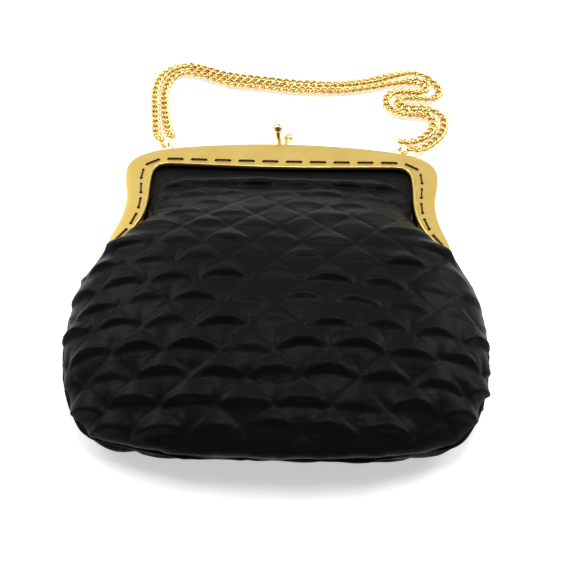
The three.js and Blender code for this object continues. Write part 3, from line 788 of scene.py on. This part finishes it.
def overhang(v, x, z):
    """How far the side bulges out over the wings' edge."""
    high = smooth(z, 24.5, 30) * smooth(v, 80, 93) * (1 - smooth(v, 98, 109))
    return OVERHANG * high * smooth(np.abs(x) / body_half(v), 0.7, 0.95)


def tuck(v, z):
    """How far the pouch's foot curls back under itself, below the fullest part of its end."""
    return TUCK * (1 - smooth(z, 12, 24)) * smooth(v, 200, 219)


def front_z(v, x):
    half = body_half(v)
    s = np.clip(np.abs(x) / half, 0, 1)
    seat = FRONT_INNER_Z - SEAT - 0.1 + v * math.tan(WEDGE)
    edge = lerp(seat, seam_z(v), smooth(v, 61, 70))
    d = np.clip(np.abs(x) / lerp(72.4, half, smooth(v, 50, 62)), 0, 1)
    round_off = lerp(2.2, 4.6, smooth(v, 58, 84))
    arch = (1 - d**round_off) ** lerp(0.9, 0.52, smooth(v, 58, 84))
    upper = edge + (seat - edge) * (1 - s**26) ** 0.5 + np.maximum(crown(v) - seat, 0) * arch
    fullness = lerp(3.8, 2.6, smooth(v, 104, 150))
    lower = seam_z(v) + (crown(v) - seam_z(v)) * (1 - s**fullness) ** lerp(0.52, 0.62, smooth(v, 104, 150))
    fold = smooth(v, 33, 42) * (1 - smooth(v, 42.5, 46)) * (1 - smooth(np.abs(x - 4), 50, 66))
    return lerp(upper, lower, smooth(v, 99, 112)) + 2.6 * fold


def rear_z(v, x):
    half = body_half(v)
    s = np.clip(np.abs(x) / half, 0, 1)
    seat = REAR_INNER_Z + SEAT
    behind = np.maximum(1 - smooth(v, 27, 33), smooth(np.abs(x), 64, 73.5))
    low = 0.2 + (seat - 0.2) * behind
    edge = lerp(seat, seam_z(v), smooth(v, 61, 70))
    upper = low + (edge - low) * (1 - (1 - s**26) ** 0.5)
    lower = seam_z(v) - (seam_z(v) - floor_z(v)) * (1 - s**4.5) ** 0.5
    return lerp(upper, lower, smooth(v, 100, 122))


def cloth_grid(height, step):
    """A sheet's points with even spacing along its middle and along each row, and which are used."""
    v = np.linspace(TOP_V, POUCH_END_V, 1200)
    middle = np.column_stack([v, height(v, np.zeros_like(v))])
    d = along(middle)
    rows = int(round(d[-1] / step))
    row_v = np.interp(np.linspace(0, d[-1], rows + 1), d, v)
    share = np.sin(np.linspace(0, math.pi / 2, 500))
    columns = 0
    lines = []
    for v_row in row_v:
        x = share * float(pouch_half(v_row))
        z = height(np.full_like(x, v_row), x)
        line = np.column_stack([x, z])
        lines.append((line, along(line)))
        columns = max(columns, int(along(line)[-1] / step) + 1)
    reach = np.arange(columns + 1) * step
    points = np.zeros((rows + 1, 2 * columns + 1, 3))
    used = np.zeros(points.shape[:2], bool)
    for j, (line, dist) in enumerate(lines):
        x = np.interp(reach, dist, line[:, 0])
        z = np.interp(reach, dist, line[:, 1])
        x = x + overhang(row_v[j], x, z)
        points[j, columns:] = np.column_stack([x, FRAME_TOP_Y - row_v[j] + tuck(row_v[j], z), z])
        points[j, :columns + 1] = (points[j, columns:] * [-1, 1, 1])[::-1]
        inside = reach < dist[-1] + step * 0.999
        used[j, columns:] = inside
        used[j, :columns + 1] = inside[::-1]
    return points, used


def grid_normals(p, out):
    du = np.gradient(p, axis=1)
    dv = np.gradient(p, axis=0)
    n = np.cross(dv, du)
    n = n / np.maximum(np.linalg.norm(n, axis=2, keepdims=True), 1e-9)
    return n * out


def edge_of(used):
    """Points on the rim of the used part."""
    padded = np.pad(used, 1)
    around = padded[:-2, 1:-1] & padded[2:, 1:-1] & padded[1:-1, :-2] & padded[1:-1, 2:]
    around &= padded[:-2, :-2] & padded[2:, 2:] & padded[:-2, 2:] & padded[2:, :-2]
    return used & ~around


def fold_heights(points, i, j, draw):
    """How far the slack fabric stands up: each diamond has one fold that arches over its widest part."""
    x, v = points[..., 0], FRAME_TOP_Y - points[..., 1]
    calm = np.exp(-((x - 12) / 42) ** 2 - ((v - 76) / 30) ** 2)
    strength = (1 - 0.75 * calm) * lerp(0.8, 1.2, smooth(v, 60, 170))
    height = np.zeros_like(x)
    half = CELLS // 2
    for row in range(int(j.min()) // half - 1, int(j.max()) // half + 2):
        for column in range(int(i.min()) // half - 1, int(i.max()) // half + 2):
            if (row + column) % 2 == 0:
                continue
            shift_by, slant, size, bow = draw.uniform(-1, 1, 4)
            across, down = (i - column * half) / half, (j - row * half) / half
            width = np.clip(1 - across**2, 0, 1)
            crest = -(0.26 + 0.10 * bow) * width + 0.12 * shift_by + 0.10 * slant * across
            behind = np.clip((down - crest) / 1.15 + 1, 0, 1) ** 2.2
            before = 1 - np.clip((down - crest) * DIAMOND / 2 / DROP, 0, 1) ** 0.8
            height += np.clip(0.62 + 0.45 * size, 0.06, 1.1) * behind * before * width**0.7
    return FOLD_HEIGHT * height * strength


def quilt(points, used, out, puff, seed, floor, steps):
    """Cloth simulation: stitch lines stay sewn down, and the slack folds between them swell and settle.

    floor is the lowest height that the fabric may reach, or None.
    """
    draw = np.random.default_rng(seed)
    rows, columns = points.shape[:2]
    j, i = np.meshgrid(np.arange(rows) - PATTERN_ROWS, np.arange(columns) - columns // 2, indexing="ij")
    sewn = ((i + j) % CELLS == 0) | ((i - j) % CELLS == 0)
    normal = grid_normals(points, out)
    rim = edge_of(used)
    free = (used & ~sewn & ~rim & (puff > 0.02))[..., None].astype(float)
    x, y = points[..., 0], points[..., 1]
    wander = sum(np.sin(x * kx + y * ky + turn_by) for kx, ky, turn_by in
                 ((0.05, 0.085, 1.1), (-0.117, 0.09, 2.2), (0.16, 0.096, 0.3))) / 3
    ripple = np.sin(y / 2.4 + 1.3 * np.sin(x / 17 + seed) + 2.4 * wander)
    slump = SLUMP * ripple * (0.4 + 0.6 * np.sin(2 * wander + y / 19))
    base = points + normal * (puff * (slump - SEWN_DEPTH * sewn))[..., None]
    p = base + normal * (fold_heights(points, i, j, draw) * puff * ~rim)[..., None]
    p = np.where(used[..., None], p, base)
    links = []
    for dj, di, strength in ((0, 1, 1.0), (1, 0, 1.0), (1, 1, 0.7), (1, -1, 0.7), (0, 2, 0.25), (2, 0, 0.25)):
        first = (slice(0, rows - dj), slice(max(-di, 0), columns - max(di, 0)))
        second = (slice(dj, rows), slice(max(di, 0), columns + min(di, 0)))
        both = (used[first] & used[second]).astype(float)[..., None]
        rest = np.linalg.norm(p[second] - p[first], axis=2, keepdims=True)
        links.append((first, second, both * strength, rest * (1 + SLACK * dj), both))
    before = p.copy()
    for step in range(steps):
        speed = (p - before) * 0.82
        before = p.copy()
        swell = grid_normals(p, out) * (SWELL * puff * (1 - step / steps * 0.5))[..., None]
        p = p + (speed + swell) * free
        for _ in range(SWEEPS):
            change = np.zeros_like(p)
            count = np.full(p.shape[:2] + (1,), 1e-6)
            for first, second, strength, rest, both in links:
                d = p[second] - p[first]
                length = np.linalg.norm(d, axis=2, keepdims=True)
                fix = d * ((length - rest) / np.maximum(length, 1e-6) * 0.5 * strength)
                change[first] += fix
                change[second] -= fix
                count[first] += both * 0.7
                count[second] += both * 0.7
            p = p + change / np.maximum(count, 1) * 1.7 * free
        # Fabric resists sharp bends, so neighbours pull each point a little towards their own middle.
        middle = (p[:-2, 1:-1] + p[2:, 1:-1] + p[1:-1, :-2] + p[1:-1, 2:]) / 4
        p[1:-1, 1:-1] += (middle - p[1:-1, 1:-1]) * BEND * free[1:-1, 1:-1]
        if floor is not None:
            p[..., 2] = np.maximum(p[..., 2], floor)
    return p


def grid_mesh(name, p, used, out, mat):
    index = -np.ones(used.shape, int)
    index[used] = np.arange(used.sum())
    a, b, c, d = index[:-1, :-1], index[1:, :-1], index[1:, 1:], index[:-1, 1:]
    ok = (a >= 0) & (b >= 0) & (c >= 0) & (d >= 0)
    quads = np.stack([a[ok], b[ok], c[ok], d[ok]], axis=1)
    if out < 0:
        quads = quads[:, ::-1]
    kept = np.unique(quads)
    renumber = -np.ones(index.max() + 1, int)
    renumber[kept] = np.arange(len(kept))
    return make(name, (p[used][kept], renumber[quads].tolist()), mat)


def add(obj, kind, **values):
    modifier = obj.modifiers.new(kind.lower(), kind)
    for key, value in values.items():
        setattr(modifier, key, value)


def settle(obj):
    """Turns the modifiers' result into the piece's own mesh."""
    bpy.context.view_layer.update()
    mesh = bpy.data.meshes.new_from_object(obj.evaluated_get(bpy.context.evaluated_depsgraph_get()))
    obj.modifiers.clear()
    obj.data = mesh
    mesh.polygons.foreach_set("use_smooth", [True] * len(mesh.polygons))


def puff_field(points):
    """How much each place can swell: nothing behind the plates, full in the open pouch."""
    v = FRAME_TOP_Y - points[..., 1]
    u = np.abs(points[..., 0])
    clear_of_top = smooth(v, 29, 41)
    arms = 1 - smooth(u, 66, 75)
    arms = lerp(arms, 1 - smooth(u, 72, 80) * 0.5, smooth(v, 58, 76))
    sides = np.where(v < 101.5, arms, 1)
    foot = 1 - 0.75 * smooth(v, 206, 219)
    return clear_of_top * sides * foot


SATIN_THICKNESS = 2.2  # with its wadding
REAR_PUFF = 0.7
REAR_FLOOR = 0.6


def panel(front):
    name = "front" if front else "rear"
    height = front_z if front else rear_z
    out = 1.0 if front else -1.0
    points, used = cloth_grid(height, STEP)
    puff = puff_field(points)
    if not front:
        puff = puff * REAR_PUFF
    steps = STEPS
    p = quilt(points, used, out, puff, 21 if front else 34, None if front else REAR_FLOOR, steps)
    obj = grid_mesh(name + "_quilt", p, used, out, SATIN)
    add(obj, "SOLIDIFY", thickness=SATIN_THICKNESS * MM, offset=-1.0)
    add(obj, "SUBSURF", levels=1, render_levels=1)
    settle(obj)
    return obj


front_quilt = panel(True)
rear_quilt = panel(False)

# ---------- seam round the pouch ----------
SEAM_RADIUS = 0.95
seam_v = np.concatenate([np.arange(69, 218, 1.0), np.arange(218, POUCH_END_V + 0.01, 0.25)])
right = np.column_stack([pouch_half(seam_v), FRAME_TOP_Y - seam_v + tuck(seam_v, seam_z(seam_v)),
                         seam_z(seam_v)])
foot = right[-1] * np.column_stack([np.linspace(0.98, -0.98, 60), np.ones(60), np.ones(60)])
seam_path = np.vstack([right, foot, (right * [-1, 1, 1])[::-1]])
seam_path = resample(seam_path, np.arange(0, along(seam_path)[-1], 1.2))
kernel = np.ones(5) / 5
seam_path[2:-2] = np.column_stack([np.convolve(seam_path[:, k], kernel, "valid") for k in range(3)])
knots = np.arange(0, len(seam_path) + 6, 3)
pucker = np.interp(np.arange(len(seam_path)), knots, rng.uniform(0.75, 1.25, len(knots)))
seam = make("pouch_seam", tube(seam_path, SEAM_RADIUS * pucker, 10), SATIN, "rear_half")

# ---------- linings ----------
LINING_DEPTH = 4.4  # behind the outer satin's surface
LINING_SEAT = 1.9  # the same, between the plates
LINING_THICKNESS = 0.5
LINING_FLOOR = 2.4
LINING_STEP = 3.0


def lining(front):
    """The plain satin inside, slack enough to fall in soft folds."""
    name = "front" if front else "rear"
    out = 1.0 if front else -1.0
    height = front_z if front else rear_z
    points, used = cloth_grid(height, LINING_STEP)
    normal = grid_normals(points, out)
    v = FRAME_TOP_Y - points[..., 1]
    x = points[..., 0]
    waves = 0.5 * np.sin(x / 9 + 1.5 * np.sin(v / 31)) * smooth(v, 30, 60)
    depth = lerp(LINING_SEAT, LINING_DEPTH, smooth(v, 28, 42)) + waves
    p = points - normal * depth[..., None]
    limit = body_half(np.clip(v, TOP_V, POUCH_END_V)) - 3.0
    p[..., 0] = np.clip(p[..., 0], -limit, limit)
    p[..., 1] = np.maximum(p[..., 1], FRAME_TOP_Y - POUCH_END_V + TUCK + 3)
    if not front:
        p[..., 2] = np.maximum(p[..., 2], LINING_FLOOR)
    obj = grid_mesh(name + "_lining_cloth", p, used, out, LINING_SATIN)
    add(obj, "SOLIDIFY", thickness=LINING_THICKNESS * MM, offset=-1.0)
    add(obj, "SUBSURF", levels=1, render_levels=1)
    settle(obj)
    return obj


front_lining = lining(True)
rear_lining = lining(False)

# ---------- who rides on what ----------
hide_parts("front_panel_lower", "front_panel_upper",
            "front_wadding_lower", "front_wadding_upper")
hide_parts("rear_panel", "rear_wadding")
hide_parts("front_lining_lower", "front_lining_upper")
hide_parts("rear_lining")
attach(rear_quilt, "rear_half")
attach(rear_lining, "rear_half")
for obj in (front_quilt, front_lining):
    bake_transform(obj)

# ---------- floor, lights and tone ----------
floor_mat, floor_tree, floor_shader = material("floor", (0.93, 0.93, 0.93), 0.7, Emission_Strength=0.5)
floor_shader.inputs["Emission Color"].default_value = (1, 1, 1, 1)
paper = noise(floor_tree, (0.02, 0.02, 0.02), 2, 0.5)
floor_tree.links.new(ramp(floor_tree, paper, 0.3, 0.7, 0.65, 0.75), floor_shader.inputs["Roughness"])
bpy.ops.mesh.primitive_plane_add(size=8, location=(0, 0, -0.0002))
floor = bpy.context.object
floor.name = "floor"
floor.data.materials.append(floor_mat)

world = bpy.data.worlds.new("studio")
bpy.context.scene.world = world
world.use_nodes = True
sky = world.node_tree
background = sky.nodes["Background"]
background.inputs["Strength"].default_value = 1.0
place = node(sky, "TexCoord")
split = node(sky, "SeparateXYZ")
sky.links.new(place.outputs["Generated"], split.inputs[0])
# Bright overhead and behind the purse, darker towards its foot.
lean = maths(sky, "ADD", maths(sky, "MULTIPLY", split.outputs[1], 0.95),
             maths(sky, "MULTIPLY", split.outputs[2], 0.20))
overhead = mix_colour(sky, ramp(sky, lean, 0.1, 1.0), (0.09, 0.09, 0.093), (0.95, 0.95, 0.95))
horizon = ramp(sky, split.outputs[2], 0.10, 0.28)
sky.links.new(mix_colour(sky, horizon, (0.85, 0.85, 0.85), overhead), background.inputs["Color"])


def area_light(name, spot, aim, size, power, size_y=None):
    data = bpy.data.lights.new(name, "AREA")
    data.energy = power
    data.size = size
    if size_y:
        data.shape = "RECTANGLE"
        data.size_y = size_y
    obj = bpy.data.objects.new(name, data)
    bpy.context.scene.collection.objects.link(obj)
    obj.location = spot
    obj.rotation_mode = "QUATERNION"
    obj.rotation_quaternion = (Vector(aim) - Vector(spot)).to_track_quat("-Z", "Y")


area_light("key", (-0.85, 0.55, 0.85), (0, 0, 0), 0.9, 9, 0.5)
area_light("top", (0.1, 0.25, 1.25), (0, 0, 0), 0.5, 6)
area_light("side", (0.9, 0.45, 0.7), (0, 0, 0.02), 0.5, 6)
view_settings = bpy.context.scene.view_settings
view_settings.view_transform = "Standard"
view_settings.look = "None"
view_settings.exposure = 0.0
view_settings.gamma = 1.0
